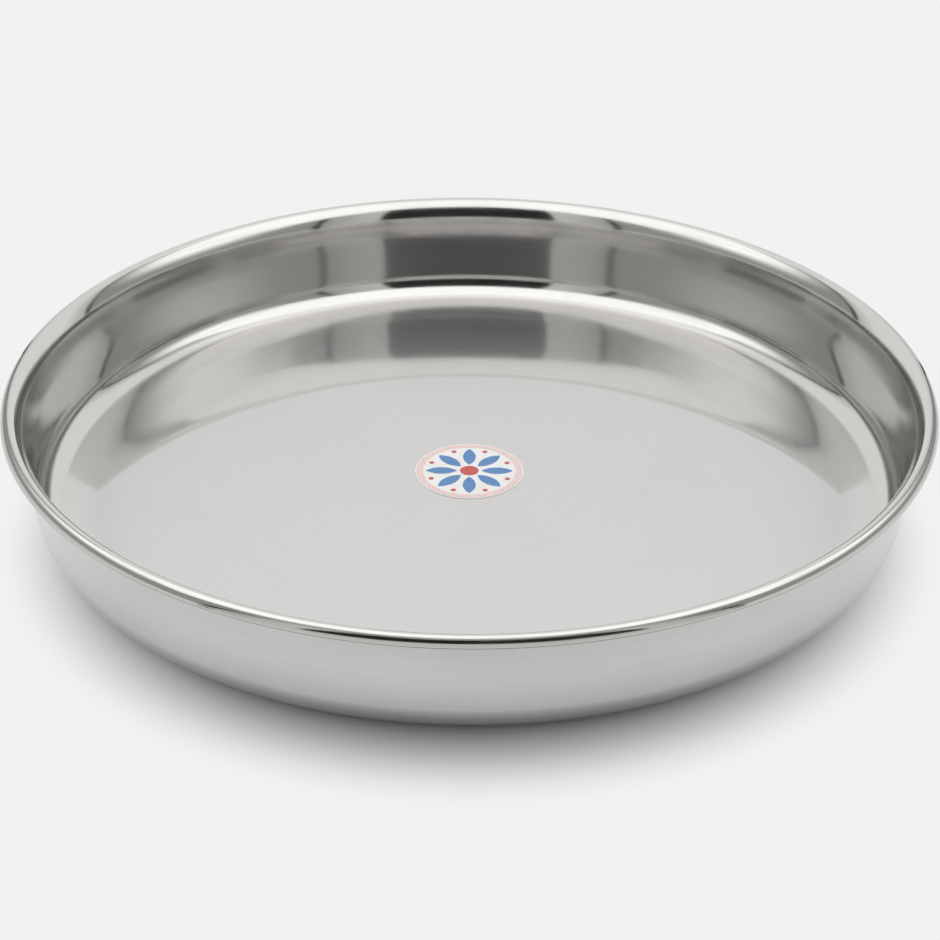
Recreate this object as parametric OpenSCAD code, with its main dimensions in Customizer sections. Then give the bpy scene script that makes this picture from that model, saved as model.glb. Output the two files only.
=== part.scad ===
// Round thali plate of drawn stainless sheet, with a printed paper label glued to its floor.
// Millimetres, +Z up. The origin is the middle of the underside, on the surface that the plate stands on.
// The plate is one sheet of even thickness that follows a profile of tangent arcs, turned about Z:
// flat floor, gentle bend, corner, nearly upright wall, gentle flare, shoulder, and a lip rolled outwards and down.

/* [Plate] */
// Diameter over the rolled lip
outside_d = 305; // [240:1:360]
// Height from the underside to the top of the lip
height = 40; // [36:0.5:55]
// Thickness of the steel sheet
sheet = 0.7; // [0.4:0.05:1.2]
// Radius of the gentle bend that lifts the edge of the floor, on the food side
bend_r = 60; // [40:1:90]
// Slope at which the bend runs into the corner, in degrees
bend_slope = 11; // [4:0.5:14]
// Radius of the corner between floor and wall, on the food side
corner_r = 9.4; // [6:0.2:14]
// Lean of the wall outwards from upright, in degrees
wall_lean = 1.2; // [0.4:0.2:4]

/* [Rim] */
// Radius of the gentle flare above the straight wall
flare_r = 55; // [30:1:80]
// Lean at which the flare runs into the shoulder, in degrees
flare_lean = 12.5; // [6:0.5:18]
// Radius of the shoulder that turns the wall out into the lip
shoulder_r = 12; // [6:0.5:16]
// Slope of the sheet where the shoulder runs into the rolled lip, in degrees
shoulder_slope = 49; // [25:1:60]
// Outside radius of the rolled lip
lip_r = 2.6; // [1.8:0.1:3.4]
// How far the lip turns in below its widest point, in degrees
lip_tuck = 5; // [0:1:60]

/* [Label] */
// Diameter of the label
label_d = 37; // [30:1:60]
// Distance of the label from the middle of the floor, towards the back
label_back = 5; // [0:0.5:20]
// Thickness of the glue under the label
glue_t = 0.03; // [0.02:0.01:0.1]
// Thickness of the label's paper
paper_t = 0.1; // [0.05:0.01:0.3]
// Thickness of the printed ink
ink_t = 0.03; // [0.02:0.01:0.1]

/* [Print] */
// White edge outside the printed border
border_margin = 0.4; // [0.2:0.1:1.5]
// Width of the printed border
border_w = 2.3; // [1:0.1:4]
// Clear paper between the border and the motif, and between the parts of the motif
print_gap = 0.9; // [0.4:0.1:2]
// Number of petals
petals = 8; // [5:1:12]
// Width of a petal
petal_w = 4.4; // [2:0.1:5]
// Diameter of the dot in the middle
hub_d = 6.4; // [3:0.1:9]
// Diameter of the dots between the petals
dot_d = 1.8; // [0.8:0.1:2.6]

/* [Hidden] */
$fn = 180;

steel = "#c9cac6";
glue = "#d8d6cc";
paper = "#f4f2ee";
pale_red = "#e7b9b2";
blue = "#3f78b5";
red = "#bf3f38";

// Farthest that a chord of the section lies from the arc that it stands for
chord_off = 0.005;

// Unit vector at an angle in the plane of the section, which has radius first and height second
function ray(angle) = [cos(angle), sin(angle)];

// Centres of the bends of the rim, from the lip inwards, each on one line with the next so that nothing kinks
lip_c = [outside_d / 2 - lip_r, height - lip_r];
shoulder_c = lip_c - (shoulder_r - lip_r) * ray(90 + shoulder_slope);
flare_c = shoulder_c - (flare_r - shoulder_r) * ray(180 - flare_lean);

// The corner's centre lies its own radius inside the wall, and the bend's centre over the edge of the flat floor
wall_top = flare_c + flare_r * ray(180 - wall_lean);
from_bend = (bend_r - corner_r) * ray(bend_slope - 90);
corner_z = sheet + bend_r + from_bend[1];
corner_x = wall_top[0] - (corner_r + sin(wall_lean) * (wall_top[1] - corner_z)) / cos(wall_lean);
corner_c = [corner_x, corner_z];
bend_c = corner_c - from_bend;
floor_r = bend_c[0];

// Points along a bend after its first point, close enough together to follow it
function bend(centre, r, from, to) =
    let (n = ceil(abs(to - from) / (2 * acos(1 - chord_off / r))))
    [for (i = [1 : n]) centre + r * ray(from + (to - from) * i / n)];

// Section of one side of the sheet, from the middle of the floor to the edge of the lip.
// The food side has depth 0 and the underside lies one sheet below it.
function side(depth) = concat(
    [[0, sheet - depth], [floor_r, sheet - depth]],
    bend(bend_c, bend_r + depth, -90, bend_slope - 90),
    bend(corner_c, corner_r + depth, bend_slope - 90, -wall_lean),
    [flare_c + (flare_r - depth) * ray(180 - wall_lean)],
    bend(flare_c, flare_r - depth, 180 - wall_lean, 180 - flare_lean),
    bend(shoulder_c, shoulder_r - depth, 180 - flare_lean, 90 + shoulder_slope),
    bend(lip_c, lip_r - depth, 90 + shoulder_slope, -lip_tuck)
);

function backwards(points) = [for (i = [len(points) - 1 : -1 : 0]) points[i]];

// Label stack, from the floor up
floor_z = sheet;
paper_z = floor_z + glue_t;
ink_z = paper_z + paper_t;

// Printed motif, from the edge of the label inwards
border_r = label_d / 2 - border_margin;
motif_r = border_r - border_w - print_gap;
petal_root = hub_d / 2 + print_gap;
petal_l = motif_r - petal_root;
// A petal is the overlap of two circles of this radius
petal_side_r = (pow(petal_l, 2) + pow(petal_w, 2)) / (4 * petal_w);

module plate_body() {
    color(steel)
        rotate_extrude()
            polygon(concat(side(0), backwards(side(sheet))));
}

// Puts a layer of the label at its height over the label's own middle
module label_layer(z, thickness) {
    translate([0, label_back, z])
        linear_extrude(thickness)
            children();
}

module label_adhesive() {
    color(glue)
        label_layer(floor_z, glue_t)
            circle(d = label_d);
}

module label_face() {
    color(paper)
        label_layer(paper_z, paper_t)
            circle(d = label_d);
}

module label_border_print() {
    color(pale_red)
        label_layer(ink_z, ink_t)
            difference() {
                circle(r = border_r);
                circle(r = border_r - border_w);
            }
}

// One petal along +X, from its root to its tip
module petal() {
    translate([petal_root + petal_l / 2, 0])
        intersection() {
            translate([0, petal_side_r - petal_w / 2])
                circle(r = petal_side_r);
            translate([0, petal_w / 2 - petal_side_r])
                circle(r = petal_side_r);
        }
}

module label_petal_print() {
    color(blue)
        label_layer(ink_z, ink_t)
            for (i = [0 : petals - 1])
                rotate(i * 360 / petals)
                    petal();
}

module label_dot_print() {
    color(red)
        label_layer(ink_z, ink_t) {
            circle(d = hub_d);
            for (i = [0 : petals - 1])
                rotate((i + 0.5) * 360 / petals)
                    translate([motif_r - dot_d / 2, 0])
                        circle(d = dot_d);
        }
}

plate_body();
label_adhesive();
label_face();
label_border_print();
label_petal_print();
label_dot_print();
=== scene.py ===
"""Looks of a round thali plate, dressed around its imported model.

The plate is one drawn sheet of stainless steel: flat floor, gentle bend, rounded corner, nearly upright
wall, gentle flare, shoulder and an open lip rolled outwards. A small printed paper label is glued to the
floor. Sizes are in millimetres until a mesh is made, and the frame is the model's own: +Z up, with the
origin under the middle of the plate.
"""

import logging
import math
from dataclasses import dataclass
from enum import Enum

import bpy
from mathutils import Matrix, Vector


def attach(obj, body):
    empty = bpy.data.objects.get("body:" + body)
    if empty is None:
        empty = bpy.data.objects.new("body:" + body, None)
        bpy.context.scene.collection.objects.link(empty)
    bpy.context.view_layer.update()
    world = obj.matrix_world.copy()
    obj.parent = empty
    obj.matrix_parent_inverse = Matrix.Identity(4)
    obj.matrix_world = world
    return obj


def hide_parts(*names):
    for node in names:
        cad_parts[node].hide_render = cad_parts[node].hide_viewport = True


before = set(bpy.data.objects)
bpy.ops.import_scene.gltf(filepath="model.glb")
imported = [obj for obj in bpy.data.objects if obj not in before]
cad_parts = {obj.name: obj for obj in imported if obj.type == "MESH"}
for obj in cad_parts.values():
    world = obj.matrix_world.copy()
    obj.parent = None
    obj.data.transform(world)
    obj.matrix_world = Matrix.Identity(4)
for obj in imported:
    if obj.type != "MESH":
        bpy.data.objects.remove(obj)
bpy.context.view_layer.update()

LOG = logging.getLogger("thali_plate")
MM = 0.001
BODY = "root"
# Height in millimetres at which the floor's finish starts to give way to the wall's
FLOOR_EDGE_Z = 0.75
# Index of refraction of the coat that stands for the steel's haze, high enough to reflect about a fifth
HAZE_IOR = 2.6
# Turn of the grain, in whole turns, that lays it along the turned lines
GRAIN_TURN = 0.25
# Shares of the steel's wear that come from the fine lines, the film and the broad bands
LINE_WEAR = 0.08
FILM_WEAR = 0.35
BAND_WEAR = 0.1
# Roughness that the film and the scratches add to the steel's own
FILM_ROUGH = 0.02
SCRATCH_ROUGH = 0.05
# Height of the streaks and depth of the scratches, as shares of the lines' depth
STREAK_RELIEF = 0.5
SCRATCH_RELIEF = 0.3
# Depth in millimetres of the grain in bare paper and under ink, and how strongly it shows
PAPER_RELIEF = 0.004
INK_RELIEF = 0.003
GRAIN_STRENGTH = 0.6
# How far the roughness of clean and of stained paper lies from its mean
PAPER_ROUGH_SPREAD = 0.05
# Roughness of thin and of full ink
THIN_INK_ROUGH = 0.5
FULL_INK_ROUGH = 0.38
# Distance in millimetres between the rows of ticks in the border, and the softness of their edges
TICK_PITCH = 0.8
TICK_SOFT = 0.25
# Distance in millimetres from the axis within which a point of the section lies on it
ON_AXIS = 0.001
# Reach in millimetres of a patch of light that doesn't fade along an axis
ENDLESS = 10000.0

Colour = tuple[float, float, float]
Point2 = tuple[float, float]
Point3 = tuple[float, float, float]


class Slot(Enum):
    """Names of the record's material slots, listed with the label's pieces but not used to give them their
    finish.
    """

    STEEL = "steel"
    GLUE = "glue"
    PAPER = "paper"
    PALE_RED = "ink_pale_red"
    BLUE = "ink_blue"
    RED = "ink_red"


class Side(Enum):
    """Sides and cut edge of the sheet, in the order of the plate's material slots."""

    FOOD = 0
    UNDER = 1
    EDGE = 2


class NodeGraph:
    """A node tree with short calls to add and link nodes."""

    def __init__(self, tree: bpy.types.NodeTree) -> None:
        """Wraps a tree.

        Args:
            tree: The node tree of a material, a world or a node group.
        """
        self.tree = tree

    def add(self, kind: str, settings: dict | None = None, **inputs: object) -> bpy.types.Node:
        """Adds a node.

        Args:
            kind: The node's type, such as "ShaderNodeMath".
            settings: Properties to set on the node.
            **inputs: Socket names, with spaces as underscores, or i0, i1 for a socket's place in the list. A
                value is an output to link, or a number, colour or vector to set.

        Returns:
            The new node.
        """
        node = self.tree.nodes.new(kind)
        for name, value in (settings or {}).items():
            setattr(node, name, value)
        for name, value in inputs.items():
            self.feed(node, int(name[1:]) if name[1:].isdigit() else name.replace("_", " "), value)
        return node

    def feed(self, node: bpy.types.Node, socket: int | str, value: object) -> None:
        """Links an output to a node's input, or sets the input's value.

        Args:
            node: The node to feed.
            socket: The input's place or name.
            value: An output socket, or a plain value.
        """
        target = node.inputs[socket]
        if isinstance(value, bpy.types.NodeSocket):
            self.tree.links.new(value, target)
        else:
            target.default_value = value

    def math(self, operation: str, a: object, b: object = 0.0, clamp: bool = False) -> bpy.types.NodeSocket:
        """Adds a Math node and returns its output.

        Args:
            operation: The node's operation, such as "MULTIPLY".
            a: The first operand, a number or an output.
            b: The second operand.
            clamp: Whether the result stays between 0 and 1.

        Returns:
            The node's output.
        """
        return self.add("ShaderNodeMath", {"operation": operation, "use_clamp": clamp}, i0=a, i1=b).outputs[0]

    def vector(self, operation: str, a: object, b: object = (0.0, 0.0, 0.0)) -> bpy.types.Node:
        """Adds a Vector Math node.

        Args:
            operation: The node's operation, such as "NORMALIZE".
            a: The first operand.
            b: The second operand.

        Returns:
            The node.
        """
        return self.add("ShaderNodeVectorMath", {"operation": operation}, i0=a, i1=b)

    def ramp(
        self, value: object, low: object, high: object, to_low: object = 0.0, to_high: object = 1.0
    ) -> bpy.types.NodeSocket:
        """Maps a value smoothly from one range to another.

        Args:
            value: The output to map.
            low: The value that becomes to_low.
            high: The value that becomes to_high.
            to_low: The result at low.
            to_high: The result at high.

        Returns:
            The mapped output.
        """
        node = self.add(
            "ShaderNodeMapRange",
            {"interpolation_type": "SMOOTHSTEP"},
            Value=value,
            From_Min=low,
            From_Max=high,
            To_Min=to_low,
            To_Max=to_high,
        )
        return node.outputs["Result"]

    def mix(self, factor: object, a: object, b: object) -> bpy.types.NodeSocket:
        """Mixes two colours.

        Args:
            factor: The share of the second colour.
            a: The first colour, a triple or an output.
            b: The second colour.

        Returns:
            The mixed colour.
        """
        node = self.add("ShaderNodeMix", {"data_type": "RGBA"}, i0=factor)
        for place, colour in ((6, a), (7, b)):
            self.feed(node, place, colour if isinstance(colour, bpy.types.NodeSocket) else (*colour, 1.0))
        return node.outputs[2]

    def millimetres(self) -> bpy.types.NodeSocket:
        """Adds the place on the surface.

        Returns:
            The place in the part's frame, in millimetres.
        """
        place = self.vector("SCALE", self.add("ShaderNodeTexCoord").outputs["Object"])
        place.inputs["Scale"].default_value = 1.0 / MM
        return place.outputs[0]


class EffectGroup:
    """A shader node group that several materials share, built on first use."""

    name = ""
    inputs: tuple[tuple[str, float], ...] = ()
    output = "Mask"

    def tree(self) -> bpy.types.NodeTree:
        """Finds the group's tree, and builds it on the first call.

        Returns:
            The tree.
        """
        made = bpy.data.node_groups.get(self.name)
        if made is not None:
            return made
        made = bpy.data.node_groups.new(self.name, "ShaderNodeTree")
        for label, value in self.inputs:
            socket = made.interface.new_socket(label, in_out="INPUT", socket_type="NodeSocketFloat")
            socket.default_value = value
        made.interface.new_socket(self.output, in_out="OUTPUT", socket_type="NodeSocketFloat")
        graph = NodeGraph(made)
        source = graph.add("NodeGroupInput")
        sink = graph.add("NodeGroupOutput")
        graph.feed(sink, 0, self.draw(graph, source))
        return made

    def draw(self, graph: NodeGraph, source: bpy.types.Node) -> bpy.types.NodeSocket:
        """Adds the group's own nodes.

        Args:
            graph: The group's graph.
            source: The group's input node.

        Returns:
            The output that leaves the group.
        """
        raise NotImplementedError

    def place(self, graph: NodeGraph, **values: float) -> bpy.types.NodeSocket:
        """Puts the group in a material.

        Args:
            graph: The material's graph.
            **values: Values of the group's inputs, with spaces as underscores.

        Returns:
            The group's output.
        """
        node = graph.add("ShaderNodeGroup", {"node_tree": self.tree()}, **values)
        return node.outputs[0]


class TurnedLines(EffectGroup):
    """Fine lines round the plate's axis, left by the polishing wheel."""

    name = "turned_lines"
    inputs = (("Per mm", 2.0), ("Wander", 3.0), ("Low", 0.35), ("High", 0.65))

    def draw(self, graph: NodeGraph, source: bpy.types.Node) -> bpy.types.NodeSocket:
        """Adds noise that runs across the lines fast and along them slowly.

        Args:
            graph: The group's graph.
            source: The group's input node.

        Returns:
            The mask of the lines.
        """
        place = graph.add("ShaderNodeSeparateXYZ", Vector=graph.millimetres())
        flat = graph.add("ShaderNodeCombineXYZ", X=place.outputs["X"], Y=place.outputs["Y"])
        radius = graph.vector("LENGTH", flat.outputs[0]).outputs["Value"]
        along_section = graph.math("ADD", radius, place.outputs["Z"])
        outwards = graph.vector("NORMALIZE", flat.outputs[0]).outputs[0]
        around = graph.add("ShaderNodeSeparateXYZ", Vector=outwards)
        across = graph.math("MULTIPLY", along_section, source.outputs["Per mm"])
        wander = source.outputs["Wander"]
        drift = [graph.math("MULTIPLY", around.outputs[axis], wander) for axis in ("X", "Y")]
        where = graph.add("ShaderNodeCombineXYZ", X=across, Y=drift[0], Z=drift[1])
        noise = graph.add("ShaderNodeTexNoise", Vector=where.outputs[0], Scale=1.0, Detail=3.0, Roughness=0.6)
        return graph.ramp(noise.outputs[0], source.outputs["Low"], source.outputs["High"])


class SoftSmudges(EffectGroup):
    """Wide soft patches, where hands and cloths have left a faint film."""

    name = "soft_smudges"
    inputs = (("Width mm", 40.0), ("Low", 0.45), ("High", 0.7))

    def draw(self, graph: NodeGraph, source: bpy.types.Node) -> bpy.types.NodeSocket:
        """Adds wide warped noise.

        Args:
            graph: The group's graph.
            source: The group's input node.

        Returns:
            The mask of the patches.
        """
        scale = graph.math("DIVIDE", 1.0, source.outputs["Width mm"])
        noise = graph.add(
            "ShaderNodeTexNoise",
            Vector=graph.millimetres(),
            Scale=scale,
            Detail=4.0,
            Roughness=0.55,
            Distortion=0.8,
        )
        return graph.ramp(noise.outputs[0], source.outputs["Low"], source.outputs["High"])


class HairScratches(EffectGroup):
    """Sparse hair-thin scratches that run one way."""

    name = "hair_scratches"
    inputs = (("Angle", 0.6), ("Length mm", 30.0), ("Width mm", 0.25), ("Share", 0.74))
    softness = 0.05

    def draw(self, graph: NodeGraph, source: bpy.types.Node) -> bpy.types.NodeSocket:
        """Adds noise stretched along one direction and cut to its peaks.

        Args:
            graph: The group's graph.
            source: The group's input node.

        Returns:
            The mask of the scratches.
        """
        turned = graph.add("ShaderNodeVectorRotate", {"rotation_type": "Z_AXIS"}, Vector=graph.millimetres())
        graph.feed(turned, "Angle", source.outputs["Angle"])
        place = graph.add("ShaderNodeSeparateXYZ", Vector=turned.outputs[0])
        along = graph.math("DIVIDE", place.outputs["X"], source.outputs["Length mm"])
        across = graph.math("DIVIDE", place.outputs["Y"], source.outputs["Width mm"])
        where = graph.add("ShaderNodeCombineXYZ", X=along, Y=across, Z=place.outputs["Z"])
        noise = graph.add("ShaderNodeTexNoise", Vector=where.outputs[0], Scale=1.0, Detail=1.0, Roughness=0.4)
        top = graph.math("ADD", source.outputs["Share"], self.softness)
        return graph.ramp(noise.outputs[0], source.outputs["Share"], top)


class PaperGrain(EffectGroup):
    """Fine felt of paper fibres."""

    name = "paper_grain"
    inputs = (("Fibre mm", 0.35),)
    output = "Height"
    cockles_per_mm = 0.16
    cockle_height = 4.0

    def draw(self, graph: NodeGraph, source: bpy.types.Node) -> bpy.types.NodeSocket:
        """Adds fine noise over a wider cockle.

        Args:
            graph: The group's graph.
            source: The group's input node.

        Returns:
            The height of the grain.
        """
        place = graph.millimetres()
        scale = graph.math("DIVIDE", 1.0, source.outputs["Fibre mm"])
        fibre = graph.add("ShaderNodeTexNoise", Vector=place, Scale=scale, Detail=4.0, Roughness=0.6)
        cockle = graph.add("ShaderNodeTexNoise", Vector=place, Scale=self.cockles_per_mm, Detail=1.0)
        low = graph.math("MULTIPLY", cockle.outputs[0], self.cockle_height)
        return graph.math("ADD", fibre.outputs[0], low)


class InkMottle(EffectGroup):
    """Uneven cover of printing ink on paper."""

    name = "ink_mottle"
    inputs = (("Fleck mm", 0.25), ("Bare", 0.3), ("Full", 0.62))

    def draw(self, graph: NodeGraph, source: bpy.types.Node) -> bpy.types.NodeSocket:
        """Adds fine flecks where the ink is thin.

        Args:
            graph: The group's graph.
            source: The group's input node.

        Returns:
            The share of full ink.
        """
        scale = graph.math("DIVIDE", 1.0, source.outputs["Fleck mm"])
        place = graph.millimetres()
        noise = graph.add("ShaderNodeTexNoise", Vector=place, Scale=scale, Detail=3.0, Roughness=0.65)
        return graph.ramp(noise.outputs[0], source.outputs["Bare"], source.outputs["Full"])


def new_material(name: str) -> tuple[bpy.types.Material, NodeGraph, bpy.types.Node]:
    """Makes a material with a Principled shader.

    Args:
        name: The material's name.

    Returns:
        The material, its graph and its Principled node.
    """
    material = bpy.data.materials.new(name)
    material.use_nodes = True
    graph = NodeGraph(material.node_tree)
    return material, graph, material.node_tree.nodes["Principled BSDF"]


@dataclass(frozen=True)
class SteelFinish:
    """Polished stainless steel, a mirror under a faint haze of turned lines that spread the light.

    Attributes:
        name: Name of the material.
        floor: Colour of the floor's steel, under its haze.
        wall: Colour of the wall's steel.
        dull: Share of the colour that is left in the lines and under the film.
        floor_rough: Roughness of the floor, between the lines and in them.
        wall_rough: The same on the wall and the rim.
        haze: Roughness of the haze.
        floor_haze: Weight of the haze on the floor.
        wall_haze: Weight of the haze on the wall and the rim.
        thinnest: Share of the haze that is left where the wheel has polished it thinnest.
        floor_top: Height in millimetres at which the floor's finish has given way to the wall's.
        line_depth: Depth of the turned lines in millimetres.
        lines_per_mm: Lines across one millimetre.
        grain: How much more the lines spread the light across them than along them.
    """

    name: str
    floor: Colour
    wall: Colour
    dull: float
    floor_rough: Point2
    wall_rough: Point2
    haze: float
    floor_haze: float
    wall_haze: float
    thinnest: float
    floor_top: float
    line_depth: float
    lines_per_mm: float
    grain: float

    def material(self) -> bpy.types.Material:
        """Builds the material.

        Returns:
            The finished material.
        """
        material, graph, shader = new_material(self.name)
        height = graph.add("ShaderNodeSeparateXYZ", Vector=graph.millimetres()).outputs["Z"]
        on_wall = graph.ramp(height, FLOOR_EDGE_Z, self.floor_top)
        lines = TurnedLines().place(graph, Per_mm=self.lines_per_mm, Wander=9.0, Low=0.25, High=0.75)
        broad = TurnedLines().place(graph, Per_mm=0.22, Wander=1.6, Low=0.3, High=0.7)
        film = SoftSmudges().place(graph)
        scratch = HairScratches().place(graph)

        fine = graph.math("MULTIPLY", lines, LINE_WEAR)
        wear = graph.math("ADD", fine, graph.math("MULTIPLY", film, FILM_WEAR))
        wear = graph.math("ADD", wear, graph.math("MULTIPLY", broad, BAND_WEAR), clamp=True)
        clean = graph.mix(on_wall, self.floor, self.wall)
        dulled = [tuple(c * self.dull for c in colour) for colour in (self.floor, self.wall)]
        worn = graph.mix(on_wall, *dulled)
        graph.feed(shader, "Base Color", graph.mix(wear, clean, worn))
        shader.inputs["Metallic"].default_value = 1.0
        shader.inputs["Anisotropic"].default_value = self.grain
        shader.inputs["Anisotropic Rotation"].default_value = GRAIN_TURN
        around = graph.add("ShaderNodeTangent", {"direction_type": "RADIAL", "axis": "Z"})
        graph.feed(shader, "Tangent", around.outputs[0])
        streaks = TurnedLines().place(graph, Per_mm=1.1, Wander=4.0, Low=0.3, High=0.7)
        thinned = graph.ramp(streaks, 0.0, 1.0, 1.0, self.thinnest)
        haze = graph.ramp(on_wall, 0.0, 1.0, self.floor_haze, self.wall_haze)
        graph.feed(shader, "Coat Weight", graph.math("MULTIPLY", haze, thinned))
        shader.inputs["Coat Roughness"].default_value = self.haze
        shader.inputs["Coat IOR"].default_value = HAZE_IOR

        between = graph.ramp(on_wall, 0.0, 1.0, self.floor_rough[0], self.wall_rough[0])
        inside = graph.ramp(on_wall, 0.0, 1.0, self.floor_rough[1], self.wall_rough[1])
        rough = graph.ramp(lines, 0.0, 1.0, between, inside)
        rough = graph.math("ADD", rough, graph.math("MULTIPLY", film, FILM_ROUGH))
        rough = graph.math("ADD", rough, graph.math("MULTIPLY", scratch, SCRATCH_ROUGH))
        graph.feed(shader, "Roughness", rough)

        ridges = graph.math("MULTIPLY", streaks, STREAK_RELIEF)
        relief = graph.math("SUBTRACT", ridges, graph.math("MULTIPLY", scratch, SCRATCH_RELIEF))
        bump = graph.add("ShaderNodeBump", Height=relief, Distance=self.line_depth * MM, Strength=1.0)
        graph.feed(shader, "Normal", bump.outputs[0])
        return material


@dataclass(frozen=True)
class PaperFinish:
    """Coated label paper, or the dull glue under it.

    Attributes:
        name: Name of the material.
        clean: Colour of clean paper.
        aged: Colour where it has yellowed.
        roughness: Mean roughness.
    """

    name: str
    clean: Colour
    aged: Colour
    roughness: float

    def material(self) -> bpy.types.Material:
        """Builds the material.

        Returns:
            The finished material.
        """
        material, graph, shader = new_material(self.name)
        stain = SoftSmudges().place(graph, Width_mm=9.0, Low=0.4, High=0.75)
        grain = PaperGrain().place(graph)
        graph.feed(shader, "Base Color", graph.mix(stain, self.clean, self.aged))
        smooth, rough = self.roughness - PAPER_ROUGH_SPREAD, self.roughness + PAPER_ROUGH_SPREAD
        graph.feed(shader, "Roughness", graph.ramp(stain, 0.0, 1.0, smooth, rough))
        bump = graph.add("ShaderNodeBump", Height=grain, Distance=PAPER_RELIEF * MM, Strength=GRAIN_STRENGTH)
        graph.feed(shader, "Normal", bump.outputs[0])
        return material


@dataclass(frozen=True)
class InkFinish:
    """Printing ink on the label.

    Attributes:
        name: Name of the material.
        full: Colour of a full layer of ink.
        thin: Colour where the paper shows through.
        ticks: Number of fine ticks round the border, or 0 for plain ink.
        centre: Middle of the label in millimetres, about which the ticks are set out.
    """

    name: str
    full: Colour
    thin: Colour
    ticks: int = 0
    centre: Point2 = (0.0, 0.0)

    def material(self) -> bpy.types.Material:
        """Builds the material.

        Returns:
            The finished material.
        """
        material, graph, shader = new_material(self.name)
        cover = InkMottle().place(graph)
        if self.ticks:
            cover = graph.math("MULTIPLY", cover, self.tick_mask(graph))
        grain = PaperGrain().place(graph)
        graph.feed(shader, "Base Color", graph.mix(cover, self.thin, self.full))
        graph.feed(shader, "Roughness", graph.ramp(cover, 0.0, 1.0, THIN_INK_ROUGH, FULL_INK_ROUGH))
        bump = graph.add("ShaderNodeBump", Height=grain, Distance=INK_RELIEF * MM, Strength=GRAIN_STRENGTH)
        graph.feed(shader, "Normal", bump.outputs[0])
        return material

    def tick_mask(self, graph: NodeGraph) -> bpy.types.NodeSocket:
        """Adds a fine lattice of ticks round the border.

        Args:
            graph: The material's graph.

        Returns:
            The mask, 1 where a tick is printed.
        """
        off_centre = graph.vector("SUBTRACT", graph.millimetres(), (*self.centre, 0.0)).outputs[0]
        place = graph.add("ShaderNodeSeparateXYZ", Vector=off_centre)
        angle = graph.math("ARCTAN2", place.outputs["Y"], place.outputs["X"])
        flat = graph.add("ShaderNodeCombineXYZ", X=place.outputs["X"], Y=place.outputs["Y"])
        radius = graph.vector("LENGTH", flat.outputs[0]).outputs["Value"]
        around = graph.math("SINE", graph.math("MULTIPLY", angle, float(self.ticks)))
        across = graph.math("SINE", graph.math("MULTIPLY", radius, 2.0 * math.pi / TICK_PITCH))
        return graph.ramp(graph.math("MULTIPLY", around, across), -TICK_SOFT, TICK_SOFT)


@dataclass(frozen=True)
class SectionPoint:
    """A point of the plate's section.

    Attributes:
        r: Distance from the axis in millimetres.
        z: Height in millimetres.
        normal: Unit vector out of the sheet, as radius and height.
        side: Side of the sheet that the stretch after this point belongs to.
    """

    r: float
    z: float
    normal: Point2
    side: Side


def ray(degrees: float) -> Vector:
    """Returns the unit vector at an angle in the plane of the section."""
    return Vector((math.cos(math.radians(degrees)), math.sin(math.radians(degrees))))


def mesh_piece(
    name: str, verts: list[Point3], faces: list[tuple[int, ...]], materials: list[bpy.types.Material]
) -> bpy.types.Object:
    """Makes a mesh object from points in millimetres.

    Args:
        name: Name of the object and its mesh.
        verts: Points in millimetres.
        faces: Faces as lists of places in verts.
        materials: Materials in the order of their slots.

    Returns:
        The object, linked to the scene.
    """
    mesh = bpy.data.meshes.new(name)
    mesh.from_pydata([tuple(c * MM for c in v) for v in verts], [], faces)
    for material in materials:
        mesh.materials.append(material)
    piece = bpy.data.objects.new(name, mesh)
    bpy.context.scene.collection.objects.link(piece)
    return piece


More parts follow.
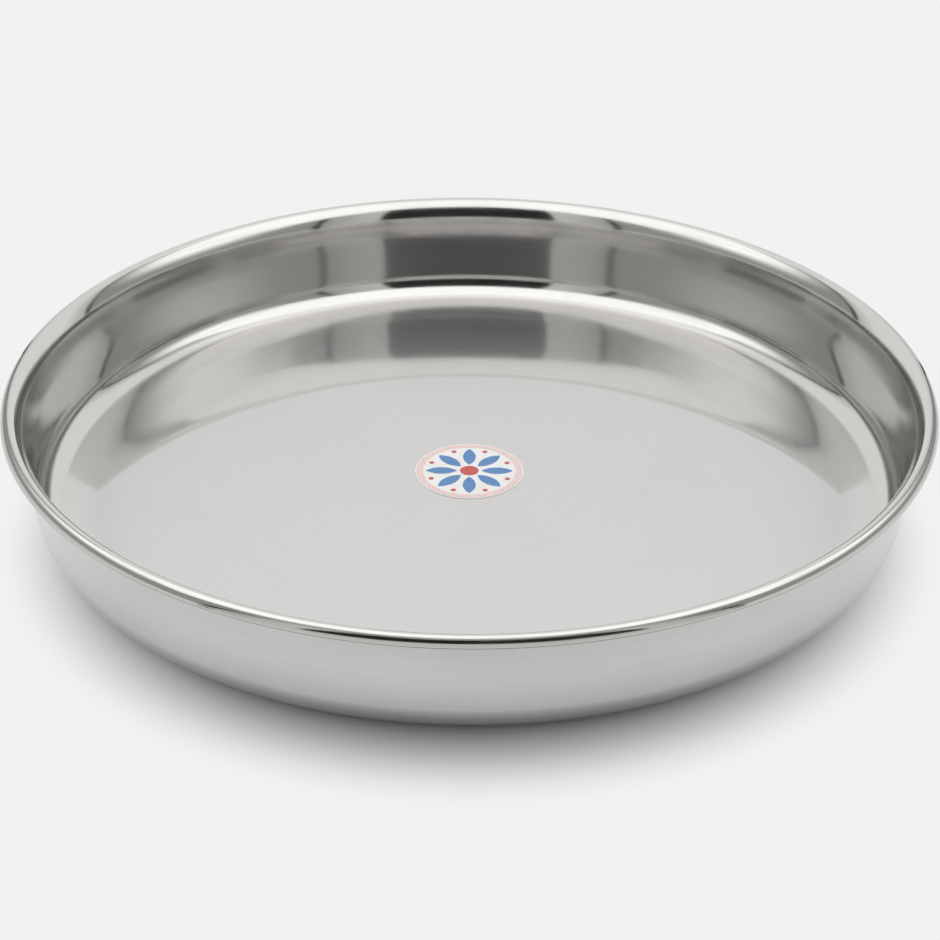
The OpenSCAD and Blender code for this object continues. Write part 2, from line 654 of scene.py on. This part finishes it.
@dataclass
class DrawnPlate:
    """The plate itself, a turned sheet of even thickness.

    Attributes:
        outside_d: Diameter over the lip.
        height: Height to the top of the lip.
        sheet: Thickness of the sheet.
        bend_r: Radius of the gentle bend that lifts the edge of the floor.
        bend_slope: Slope at which the bend runs into the corner, in degrees.
        corner_r: Radius between floor and wall on the food side.
        wall_lean: Lean of the wall in degrees.
        flare_r: Radius of the gentle flare.
        flare_lean: Lean where the flare meets the shoulder, in degrees.
        shoulder_r: Radius of the shoulder.
        shoulder_slope: Slope where the shoulder meets the lip, in degrees.
        lip_r: Outside radius of the lip.
        lip_tuck: How far the lip turns in below its widest point, in degrees.
        segments: Steps round the axis.
        floor_rings: Rings of points on the floor, as shares of the flat floor's radius.
        bend_step: Largest step along the gentle bend, in degrees.
        corner_step: The same along the corner.
        flare_step: The same along the flare.
        shoulder_step: The same along the shoulder.
        lip_step: The same along the lip.
        edge_step: The same round the cut edge.
    """

    outside_d: float = 305.0
    height: float = 40.0
    sheet: float = 0.7
    bend_r: float = 60.0
    bend_slope: float = 11.0
    corner_r: float = 9.4
    wall_lean: float = 1.2
    flare_r: float = 55.0
    flare_lean: float = 12.5
    shoulder_r: float = 12.0
    shoulder_slope: float = 49.0
    lip_r: float = 2.6
    lip_tuck: float = 5.0
    segments: int = 432
    floor_rings: tuple[float, ...] = (0.0, 0.2, 0.5, 0.8)
    bend_step: float = 1.0
    corner_step: float = 2.5
    flare_step: float = 0.8
    shoulder_step: float = 2.5
    lip_step: float = 5.0
    edge_step: float = 20.0

    def arc(
        self, centre: Vector, r: float, start: float, end: float, step: float, outward: int, side: Side
    ) -> list[SectionPoint]:
        """Lists points along an arc of the section.

        Args:
            centre: Centre of the arc.
            r: Radius of the arc.
            start: First angle in degrees.
            end: Last angle in degrees.
            step: Largest step in degrees.
            outward: 1 where the surface faces away from the centre, -1 where it faces the centre.
            side: Side of the sheet.

        Returns:
            The points, with both ends.
        """
        count = math.ceil(abs(end - start) / step)
        points = []
        for i in range(count + 1):
            way = ray(start + (end - start) * i / count)
            at = centre + way * r
            points.append(SectionPoint(at.x, at.y, tuple(way * outward), side))
        return points

    def section(self) -> list[SectionPoint]:
        """Works out the section, from the middle of the floor over the lip and back below.

        Returns:
            The points of the section in order.
        """
        lip_c = Vector((self.outside_d / 2 - self.lip_r, self.height - self.lip_r))
        shoulder_c = lip_c - ray(90 + self.shoulder_slope) * (self.shoulder_r - self.lip_r)
        flare_c = shoulder_c - ray(180 - self.flare_lean) * (self.flare_r - self.shoulder_r)
        wall_top = flare_c + ray(180 - self.wall_lean) * self.flare_r
        bend_end = self.bend_slope - 90
        from_bend = ray(bend_end) * (self.bend_r - self.corner_r)
        corner_z = self.sheet + self.bend_r + from_bend.y
        lean = math.radians(self.wall_lean)
        inset = (self.corner_r + math.sin(lean) * (wall_top.y - corner_z)) / math.cos(lean)
        corner_x = wall_top.x - inset
        corner_c = Vector((corner_x, corner_z))
        bend_c = corner_c - from_bend
        floor_r = bend_c.x
        # The cut edge is rounded, inside the end of the lip
        edge_r = self.sheet / 2
        mid_r = self.lip_r - edge_r
        edge_angle = math.degrees(edge_r / mid_r) - self.lip_tuck
        edge_c = lip_c + ray(edge_angle) * mid_r

        def run(depth: float, out: int, side: Side) -> list[SectionPoint]:
            """Returns one side of the sheet, from the floor to the lip.

            Args:
                depth: Depth below the food side.
                out: 1 for the food side, -1 for the underside.
                side: Side of the sheet.

            Returns:
                The points from the middle of the floor to the lip.
            """
            level = self.sheet - depth
            up = (0.0, float(out))
            points = [SectionPoint(floor_r * share, level, up, side) for share in self.floor_rings]
            points += self.arc(bend_c, self.bend_r + depth, -90, bend_end, self.bend_step, -out, side)
            r = self.corner_r + depth
            points += self.arc(corner_c, r, bend_end, -self.wall_lean, self.corner_step, -out, side)[1:]
            wall_end, flare_end = 180 - self.wall_lean, 180 - self.flare_lean
            shoulder_end = 90 + self.shoulder_slope
            rim = (
                (flare_c, self.flare_r, wall_end, flare_end, self.flare_step),
                (shoulder_c, self.shoulder_r, flare_end, shoulder_end, self.shoulder_step),
                (lip_c, self.lip_r, shoulder_end, edge_angle, self.lip_step),
            )
            for place, (centre, r, start, end, step) in enumerate(rim):
                # Each arc but the first starts at the point that the last one ended on
                points += self.arc(centre, r - depth, start, end, step, out, side)[min(place, 1):]
            return points

        over = run(0.0, 1, Side.FOOD)
        below = run(self.sheet, -1, Side.UNDER)
        edge = self.arc(edge_c, edge_r, edge_angle, edge_angle - 180, self.edge_step, 1, Side.EDGE)[:-1]
        return over[:-1] + edge + below[::-1]

    def build(self) -> bpy.types.Object:
        """Turns the section into a closed mesh with true normals.

        Returns:
            The plate.
        """
        points = self.section()
        verts: list[Point3] = []
        normals: list[Vector] = []
        rings: list[list[int]] = []
        for point in points:
            steps = self.segments if point.r > ON_AXIS else 1
            rings.append(list(range(len(verts), len(verts) + steps)))
            for k in range(steps):
                turn = 2 * math.pi * k / self.segments
                c, s = math.cos(turn), math.sin(turn)
                verts.append((point.r * c, point.r * s, point.z))
                normals.append(Vector((point.normal[0] * c, point.normal[0] * s, point.normal[1])))
        faces: list[tuple[int, ...]] = []
        sides: list[int] = []
        for point, inner, outer in zip(points, rings, rings[1:]):
            for k in range(self.segments):
                n = (k + 1) % self.segments
                if len(inner) == 1:
                    face = (inner[0], outer[k], outer[n])
                elif len(outer) == 1:
                    face = (inner[k], outer[0], inner[n])
                else:
                    face = (inner[k], outer[k], outer[n], inner[n])
                faces.append(face)
                sides.append(point.side.value)
        plate = mesh_piece("plate_sheet", verts, faces, self.finishes())
        for polygon, side in zip(plate.data.polygons, sides):
            polygon.material_index = side
            polygon.use_smooth = True
        plate.data.normals_split_custom_set_from_vertices(normals)
        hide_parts("plate_body")
        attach(plate, BODY)
        return plate

    def finishes(self) -> list[bpy.types.Material]:
        """Builds the plate's three finishes: polished steel, satin steel, and the dark cut edge, whose colour
        is painted shadow of the gap under the lip.

        Returns:
            The materials in the order of Side.
        """
        bright = SteelFinish(
            name="polished_steel",
            floor=(0.53, 0.527, 0.514),
            wall=(0.625, 0.615, 0.59),
            dull=0.94,
            floor_rough=(0.02, 0.034),
            wall_rough=(0.09, 0.13),
            haze=0.42,
            floor_haze=1.0,
            wall_haze=0.02,
            thinnest=0.96,
            floor_top=2.5,
            line_depth=0.0006,
            lines_per_mm=3.0,
            grain=0.9,
        )
        satin = SteelFinish(
            name="satin_steel",
            floor=(0.54, 0.535, 0.525),
            wall=(0.58, 0.575, 0.565),
            dull=0.92,
            floor_rough=(0.12, 0.2),
            wall_rough=(0.12, 0.2),
            haze=0.5,
            floor_haze=1.0,
            wall_haze=0.5,
            thinnest=0.6,
            floor_top=9.0,
            line_depth=0.001,
            lines_per_mm=3.0,
            grain=0.6,
        )
        # The cut edge gets a dark steel colour: painted shadow of the gap between the lip's edge and the wall
        # below it
        edge_shadow = SteelFinish(
            name="edge_shadow_steel",
            floor=(0.22, 0.216, 0.205),
            wall=(0.22, 0.216, 0.205),
            dull=0.8,
            floor_rough=(0.3, 0.45),
            wall_rough=(0.3, 0.45),
            haze=0.5,
            floor_haze=0.1,
            wall_haze=0.1,
            thinnest=0.6,
            floor_top=9.0,
            line_depth=0.001,
            lines_per_mm=3.0,
            grain=0.3,
        )
        return [bright.material(), satin.material(), edge_shadow.material()]


@dataclass
class PaperLabel:
    """The round label on the floor: glue, paper and three printed inks.

    Attributes:
        diameter: Diameter of the label.
        back: Distance of its middle behind the plate's middle.
        floor_z: Height of the plate's floor.
        glue_t: Thickness of the glue.
        paper_t: Thickness of the paper.
        ink_t: Thickness of the ink.
        border_margin: White edge outside the border.
        border_w: Width of the border.
        print_gap: Clear paper round the parts of the motif.
        petals: Number of petals.
        petal_w: Width of a petal.
        hub_d: Diameter of the dot in the middle.
        dot_d: Diameter of the dots between the petals.
        ticks: Number of fine ticks printed round the border.
        edge_steps: Points round the label and its border.
        hub_steps: Points round the dot in the middle.
        dot_steps: Points round each dot between the petals.
        petal_steps: Points along each side of a petal.
    """

    diameter: float = 37.0
    back: float = 5.0
    floor_z: float = 0.7
    glue_t: float = 0.03
    paper_t: float = 0.1
    ink_t: float = 0.03
    border_margin: float = 0.4
    border_w: float = 2.3
    print_gap: float = 0.9
    petals: int = 8
    petal_w: float = 4.4
    hub_d: float = 6.4
    dot_d: float = 1.8
    ticks: int = 120
    edge_steps: int = 192
    hub_steps: int = 64
    dot_steps: int = 32
    petal_steps: int = 16

    def circle(self, r: float, steps: int, centre: Point2 = (0.0, 0.0)) -> list[Point2]:
        """Lists points round a circle.

        Args:
            r: Radius.
            steps: Number of points.
            centre: Middle of the circle.

        Returns:
            The points, anticlockwise.
        """
        turns = [2 * math.pi * k / steps for k in range(steps)]
        return [(centre[0] + r * math.cos(t), centre[1] + r * math.sin(t)) for t in turns]

    def petal(self, root: float, tip: float, turn: float) -> list[Point2]:
        """Lists the outline of a petal.

        Args:
            root: Distance of its near end from the middle of the label.
            tip: Distance of its far end.
            turn: Direction of the petal in radians.

        Returns:
            The outline, anticlockwise.
        """
        length = tip - root
        side_r = (length**2 + self.petal_w**2) / (4 * self.petal_w)
        half = math.asin(length / 2 / side_r)
        c, s = math.cos(turn), math.sin(turn)
        outline = []
        for sign in (-1, 1):
            for k in range(self.petal_steps):
                along = sign * half * (1 - 2 * k / self.petal_steps)
                x = (root + tip) / 2 + side_r * math.sin(along)
                y = sign * (side_r * math.cos(along) - side_r + self.petal_w / 2)
                outline.append((x * c - y * s, x * s + y * c))
        return outline

    def layer(
        self,
        name: str,
        outlines: list[list[list[Point2]]],
        z: float,
        thickness: float,
        material: bpy.types.Material,
    ) -> bpy.types.Object:
        """Builds a flat layer of the label.

        Args:
            name: Name of the piece.
            outlines: Shapes of the layer. Each is an outline, and after it a hole where the shape has one.
            z: Height of its underside.
            thickness: Its thickness.
            material: Its material.

        Returns:
            The layer.
        """
        verts: list[Point3] = []
        faces: list[tuple[int, ...]] = []

        def loop(points: list[Point2], level: float) -> list[int]:
            """Adds a closed row of points.

            Args:
                points: The row's points about the middle of the label.
                level: Its height.

            Returns:
                The places of the points in verts.
            """
            first = len(verts)
            verts.extend((x, y + self.back, level) for x, y in points)
            return list(range(first, len(verts)))

        for shape in outlines:
            rows = [[loop(points, z), loop(points, z + thickness)] for points in shape]
            for place, (low, high) in enumerate(rows):
                for k in range(len(low)):
                    n = (k + 1) % len(low)
                    wall = (low[k], low[n], high[n], high[k])
                    faces.append(wall if place == 0 else wall[::-1])
            if len(rows) == 1:
                faces.append(tuple(rows[0][1]))
                faces.append(tuple(rows[0][0][::-1]))
                continue
            (low, high), (hole_low, hole_high) = rows
            for k in range(len(low)):
                n = (k + 1) % len(low)
                faces.append((high[k], high[n], hole_high[n], hole_high[k]))
                faces.append((low[n], low[k], hole_low[k], hole_low[n]))
        return mesh_piece(name, verts, faces, [material])

    def build(self) -> list[bpy.types.Object]:
        """Builds and dresses the layers.

        Returns:
            The layers, from the floor up.
        """
        paper_z = self.floor_z + self.glue_t
        ink_z = paper_z + self.paper_t
        edge = self.diameter / 2
        border = edge - self.border_margin
        motif = border - self.border_w - self.print_gap
        root = self.hub_d / 2 + self.print_gap
        turns = [2 * math.pi * k / self.petals for k in range(self.petals)]
        half_turn = math.pi / self.petals
        dot_at = motif - self.dot_d / 2
        disc = [[self.circle(edge, self.edge_steps)]]
        ring = [[self.circle(r, self.edge_steps) for r in (border, border - self.border_w)]]
        petals = [[self.petal(root, motif, turn)] for turn in turns]
        dots = [[self.circle(self.hub_d / 2, self.hub_steps)]]
        for turn in turns:
            middle = (dot_at * math.cos(turn + half_turn), dot_at * math.sin(turn + half_turn))
            dots.append([self.circle(self.dot_d / 2, self.dot_steps, middle)])

        glue = PaperFinish("label_glue", (0.6, 0.58, 0.52), (0.5, 0.46, 0.38), 0.45).material()
        paper = PaperFinish("label_paper", (0.86, 0.855, 0.84), (0.82, 0.805, 0.77), 0.42).material()
        middle = (0.0, self.back)
        border_ink = InkFinish("border_ink", (0.66, 0.2, 0.18), (0.86, 0.8, 0.78), self.ticks, middle)
        pale_red = border_ink.material()
        blue = InkFinish("petal_ink", (0.05, 0.19, 0.46), (0.16, 0.32, 0.56)).material()
        red = InkFinish("dot_ink", (0.52, 0.05, 0.04), (0.62, 0.14, 0.11)).material()
        plan = (
            ("label_glue_layer", "label_adhesive", Slot.GLUE, disc, self.floor_z, self.glue_t, glue),
            ("label_paper_disc", "label_face", Slot.PAPER, disc, paper_z, self.paper_t, paper),
            ("label_border_ink", "label_border_print", Slot.PALE_RED, ring, ink_z, self.ink_t, pale_red),
            ("label_petal_ink", "label_petal_print", Slot.BLUE, petals, ink_z, self.ink_t, blue),
            ("label_dot_ink", "label_dot_print", Slot.RED, dots, ink_z, self.ink_t, red),
        )
        layers = []
        for name, node, slot, outlines, z, thickness, material in plan:
            layer = self.layer(name, outlines, z, thickness, material)
            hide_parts(node)
            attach(layer, BODY)
            layers.append(layer)
        return layers


@dataclass(frozen=True)
class GlowPanel:
    """A soft panel of light, which the plate and the floor see but the camera doesn't.

    Attributes:
        name: Name of the panel.
        corner: One corner in millimetres.
        across: First edge from that corner.
        up: Second edge from that corner.
        level: Brightness away from the bright patch.
        patch: How much brighter the middle of the patch is.
        patch_at: Middle of the patch.
        patch_reach: Distance from its middle at which the patch has faded out, along X, Y and Z.
        patch_core: Share of that distance over which the patch is at its full brightness.
        tint: Colour of the light.
        lights: Whether it lights dull surfaces too, and isn't only seen in the steel.
    """

    name: str
    corner: Point3
    across: Point3
    up: Point3
    level: float
    patch: float = 0.0
    patch_at: Point3 = (0.0, 0.0, 0.0)
    patch_reach: Point3 = (1.0, 1.0, 1.0)
    patch_core: float = 0.2
    tint: Colour = (1.0, 1.0, 1.0)
    lights: bool = True

    def build(self) -> bpy.types.Object:
        """Builds the panel.

        Returns:
            The panel.
        """
        material = bpy.data.materials.new(self.name)
        material.use_nodes = True
        material.node_tree.nodes.clear()
        graph = NodeGraph(material.node_tree)
        off_middle = graph.vector("SUBTRACT", graph.millimetres(), self.patch_at).outputs[0]
        share = graph.vector("LENGTH", graph.vector("DIVIDE", off_middle, self.patch_reach).outputs[0])
        brightest = self.level + self.patch
        strength = graph.ramp(share.outputs["Value"], self.patch_core, 1.0, brightest, self.level)
        glow = graph.add("ShaderNodeEmission", Color=(*self.tint, 1.0), Strength=strength)
        graph.add("ShaderNodeOutputMaterial", Surface=glow.outputs[0])
        corner, across, up = Vector(self.corner), Vector(self.across), Vector(self.up)
        corners = [tuple(corner + step) for step in (Vector(), across, across + up, up)]
        panel = mesh_piece(self.name, corners, [(0, 1, 2, 3)], [material])
        panel.visible_camera = False
        panel.visible_shadow = False
        panel.visible_diffuse = self.lights
        return panel


@dataclass
class Studio:
    """Pale floor, a tent of soft panels with an opening in front, and a soft box over the plate.

    The skirts at the sides and the low strip in front are only seen in the steel, and light nothing.

    Attributes:
        left: Distance of the left panel from the axis.
        right: Distance of the right panel.
        front: Distance of the front panel.
        behind: Distance of the back panel.
        top: Height of the tent.
        gap_half: Half the width of the dark opening in the front panel.
        gap_x: Middle of the opening.
        gap_low: Lower end of the opening.
        skirt: Height of the bright skirts at the foot of the side panels.
        strip_half: Half the length of the low bright strip in front of the plate.
        strip_y: Its distance in front of the axis.
        strip_low: Its lower edge.
        strip_top: Its upper edge.
        proud: Distance of the opening, the skirts and the poles from the panels behind them.
        pole: Distance that the poles at the corners take up along each panel.
        box_z: Height of the soft box.
        box_front: Its front edge, in front of the axis.
        box_back: Its back edge, behind the axis.
        paper_white: Brightness of the floor and the background far from the plate.
        shade_y: Middle of the round patch where the floor shows its own light and shade.
        near: Distance from that middle up to which it shows only those.
        far: Distance beyond which the floor is plain background.
        hole: Radius of the hole in the floor under the plate's flat base.
        reach: Distance that the floor runs to.
        floor_steps: Steps round the floor.
        shade_darkened_ground: Colour of the floor near the plate, darker than the plain background, so that
            it adds painted shade to the plate's real shadow.
        ground_rough: Roughness of the floor.
    """

    left: float = 276.0
    right: float = 297.0
    front: float = 260.0
    behind: float = 278.0
    top: float = 400.0
    gap_half: float = 141.0
    gap_x: float = 6.0
    gap_low: float = 50.0
    skirt: float = 62.0
    strip_half: float = 190.0
    strip_y: float = 175.0
    strip_low: float = 38.0
    strip_top: float = 51.0
    proud: float = 1.0
    pole: float = 13.0
    box_z: float = 270.0
    box_front: float = 125.0
    box_back: float = 135.0
    paper_white: float = 0.885
    shade_y: float = -20.0
    near: float = 115.0
    far: float = 155.0
    hole: float = 124.0
    reach: float = 4000.0
    floor_steps: int = 128
    shade_darkened_ground: Colour = (0.64, 0.64, 0.636)
    ground_rough: float = 0.9

    def panels(self) -> list[GlowPanel]:
        """Lists the panels.

        Returns:
            The panels of the tent, the opening, the soft box, the strip, the skirts and the poles.
        """
        left_x, right_x, front_y, back_y = -self.left, self.right, -self.front, self.behind
        wide, deep = (right_x - left_x, 0.0, 0.0), (0.0, back_y - front_y, 0.0)
        tall = (0.0, 0.0, self.top)
        panels = [
            GlowPanel(
                name="panel_back",
                corner=(left_x, back_y, 0.0),
                across=wide,
                up=tall,
                level=0.75,
                patch=0.25,
                patch_at=(0.0, back_y, 200.0),
                patch_reach=(250.0, ENDLESS, ENDLESS),
                patch_core=0.6,
            ),
            GlowPanel(
                name="panel_front",
                corner=(left_x, front_y, 0.0),
                across=wide,
                up=tall,
                level=0.44,
                patch=0.28,
                patch_at=(0.0, front_y, 0.0),
                patch_reach=(300.0, ENDLESS, ENDLESS),
                patch_core=0.45,
            ),
            GlowPanel(
                name="panel_top",
                corner=(left_x, front_y, self.top),
                across=wide,
                up=deep,
                level=0.5,
                patch=0.8,
                patch_at=(0.0, back_y, self.top),
                patch_reach=(300.0, 420.0, ENDLESS),
                patch_core=0.3,
            ),
            GlowPanel(
                name="front_gap",
                corner=(self.gap_x - self.gap_half, front_y + self.proud, self.gap_low),
                across=(2 * self.gap_half, 0.0, 0.0),
                up=(0.0, 0.0, self.top - self.gap_low),
                level=0.01,
                tint=(1.0, 0.93, 0.9),
            ),
            GlowPanel(
                name="soft_box",
                corner=(left_x, -self.box_front, self.box_z),
                across=wide,
                up=(0.0, self.box_front + self.box_back, 0.0),
                level=1.4,
                patch=0.17,
                patch_at=(0.0, 15.0, self.box_z),
                patch_reach=(300.0, ENDLESS, ENDLESS),
                patch_core=0.5,
            ),
            GlowPanel(
                name="front_strip",
                corner=(-self.strip_half, -self.strip_y, self.strip_low),
                across=(2 * self.strip_half, 0.0, 0.0),
                up=(0.0, 0.0, self.strip_top - self.strip_low),
                level=0.72,
                lights=False,
            ),
        ]
        for x, inwards, word in ((left_x, 1, "left"), (right_x, -1, "right")):
            panels += self.side_panels(x, inwards, word)
        return panels

    def side_panels(self, x: float, inwards: int, word: str) -> list[GlowPanel]:
        """Lists the panels of one side.

        Args:
            x: Place of the side along X.
            inwards: 1 where the inside of the tent lies towards +X, -1 where it lies towards -X.
            word: Name of the side.

        Returns:
            The side's panel, the bright skirt at its foot and the poles at its ends.
        """
        front_y, back_y = -self.front, self.behind
        deep, tall = (0.0, back_y - front_y, 0.0), (0.0, 0.0, self.top)
        panels = [
            GlowPanel(
                name=f"panel_{word}",
                corner=(x, front_y, 0.0),
                across=deep,
                up=tall,
                level=0.38,
                patch=1.5,
                patch_at=(x, 45.0, 320.0),
                patch_reach=(ENDLESS, 230.0, 220.0),
                patch_core=0.15,
            ),
            GlowPanel(
                name=f"skirt_{word}",
                corner=(x + inwards * self.proud, front_y, 0.0),
                across=deep,
                up=(0.0, 0.0, self.skirt),
                level=0.8,
                lights=False,
            ),
        ]
        for y, back, end in ((front_y + self.proud, 1, "front"), (back_y - self.proud, -1, "back")):
            panels.append(
                GlowPanel(
                    name=f"pole_{word}_{end}",
                    corner=(x + inwards * self.pole, y, 0.0),
                    across=(-inwards * self.pole, back * self.pole, 0.0),
                    up=tall,
                    level=0.04,
                )
            )
        return panels

    def build(self) -> list[bpy.types.Object]:
        """Builds the floor, the panels and the world.

        Returns:
            The floor and the panels.
        """
        self.world()
        return [self.floor(), *(panel.build() for panel in self.panels())]

    def floor(self) -> bpy.types.Object:
        """Builds the pale floor, which runs into the background away from the plate. Near the plate it shows
        its own light and shade, in a colour darker than the background that adds painted shade round the
        plate.

        It is clear from below and open under the plate's base, so that the underside can be looked at.

        Returns:
            The floor.
        """
        material, graph, shader = new_material("pale_floor")
        # The floor's colour is darker than the plain background around it: painted shade that deepens the
        # plate's shadow on the floor
        shader.inputs["Base Color"].default_value = (*self.shade_darkened_ground, 1.0)
        shader.inputs["Roughness"].default_value = self.ground_rough
        shader.inputs["Specular IOR Level"].default_value = 0.0
        light = graph.add("ShaderNodeLightPath")
        seen = graph.math("MAXIMUM", light.outputs["Is Camera Ray"], light.outputs["Is Glossy Ray"])
        off_middle = graph.vector("SUBTRACT", graph.millimetres(), (0.0, self.shade_y, 0.0)).outputs[0]
        away = graph.vector("LENGTH", off_middle).outputs["Value"]
        share = graph.math("MULTIPLY", seen, graph.ramp(away, self.near, self.far))
        plain = graph.add("ShaderNodeEmission", Strength=self.paper_white)
        both = graph.add("ShaderNodeMixShader", i0=share, i1=shader.outputs[0], i2=plain.outputs[0])
        below = graph.add("ShaderNodeNewGeometry").outputs["Backfacing"]
        clear = graph.add("ShaderNodeBsdfTransparent")
        sided = graph.add("ShaderNodeMixShader", i0=below, i1=both.outputs[0], i2=clear.outputs[0])
        graph.feed(material.node_tree.nodes["Material Output"], "Surface", sided.outputs[0])
        steps = self.floor_steps
        turns = [2 * math.pi * k / steps for k in range(steps)]
        verts = [(r * math.cos(t), r * math.sin(t), 0.0) for r in (self.hole, self.reach) for t in turns]
        faces = [(k, steps + k, steps + (k + 1) % steps, (k + 1) % steps) for k in range(steps)]
        floor = mesh_piece("floor", verts, faces, [material])
        return floor

    def world(self) -> None:
        """Sets an even world of the background's brightness."""
        world = bpy.data.worlds.new("studio_world")
        world.use_nodes = True
        background = world.node_tree.nodes["Background"]
        background.inputs["Color"].default_value = (1.0, 1.0, 1.0, 1.0)
        background.inputs["Strength"].default_value = self.paper_white
        bpy.context.scene.world = world


@dataclass
class StudioCamera:
    """The camera in front of the plate.

    Attributes:
        away: Distance in front of the plate's axis.
        up: Height above the floor.
        across: Distance to the right of the axis.
        pitch: How far it looks down, in degrees.
        roll: Turn about its own axis, in radians.
        lens: Focal length.
        sensor: Width of the sensor.
    """

    away: float = 611.4
    up: float = 360.7
    across: float = 0.23
    pitch: float = 30.26
    roll: float = 0.00516
    lens: float = 80.02
    sensor: float = 36.0

    def build(self) -> bpy.types.Object:
        """Places the camera and makes it the scene's own.

        Returns:
            The camera.
        """
        data = bpy.data.cameras.new("studio_camera")
        data.sensor_width = self.sensor
        data.lens = self.lens
        down = math.radians(self.pitch)
        right = Vector((1.0, 0.0, 0.0))
        over = Vector((0.0, math.sin(down), math.cos(down)))
        back = Vector((0.0, -math.cos(down), math.sin(down)))
        turn = Matrix((right, over, back)).transposed() @ Matrix.Rotation(self.roll, 3, "Z")
        camera = bpy.data.objects.new("studio_camera", data)
        bpy.context.scene.collection.objects.link(camera)
        place = Vector((self.across, -self.away, self.up)) * MM
        camera.matrix_world = Matrix.Translation(place) @ turn.to_4x4()
        bpy.context.scene.camera = camera
        return camera


def main() -> None:
    """Builds the plate, its label, the studio and the camera."""
    logging.basicConfig(level=logging.INFO, format="%(name)s: %(message)s")
    bpy.context.scene.view_settings.view_transform = "Standard"
    plate = DrawnPlate().build()
    LOG.info("built %s with %d faces", plate.name, len(plate.data.polygons))
    for layer in PaperLabel().build():
        LOG.info("built %s with %d faces", layer.name, len(layer.data.polygons))
    LOG.info("built %d stage pieces", len(Studio().build()))
    LOG.info("placed %s", StudioCamera().build().name)


if __name__ == "__main__":
    main()
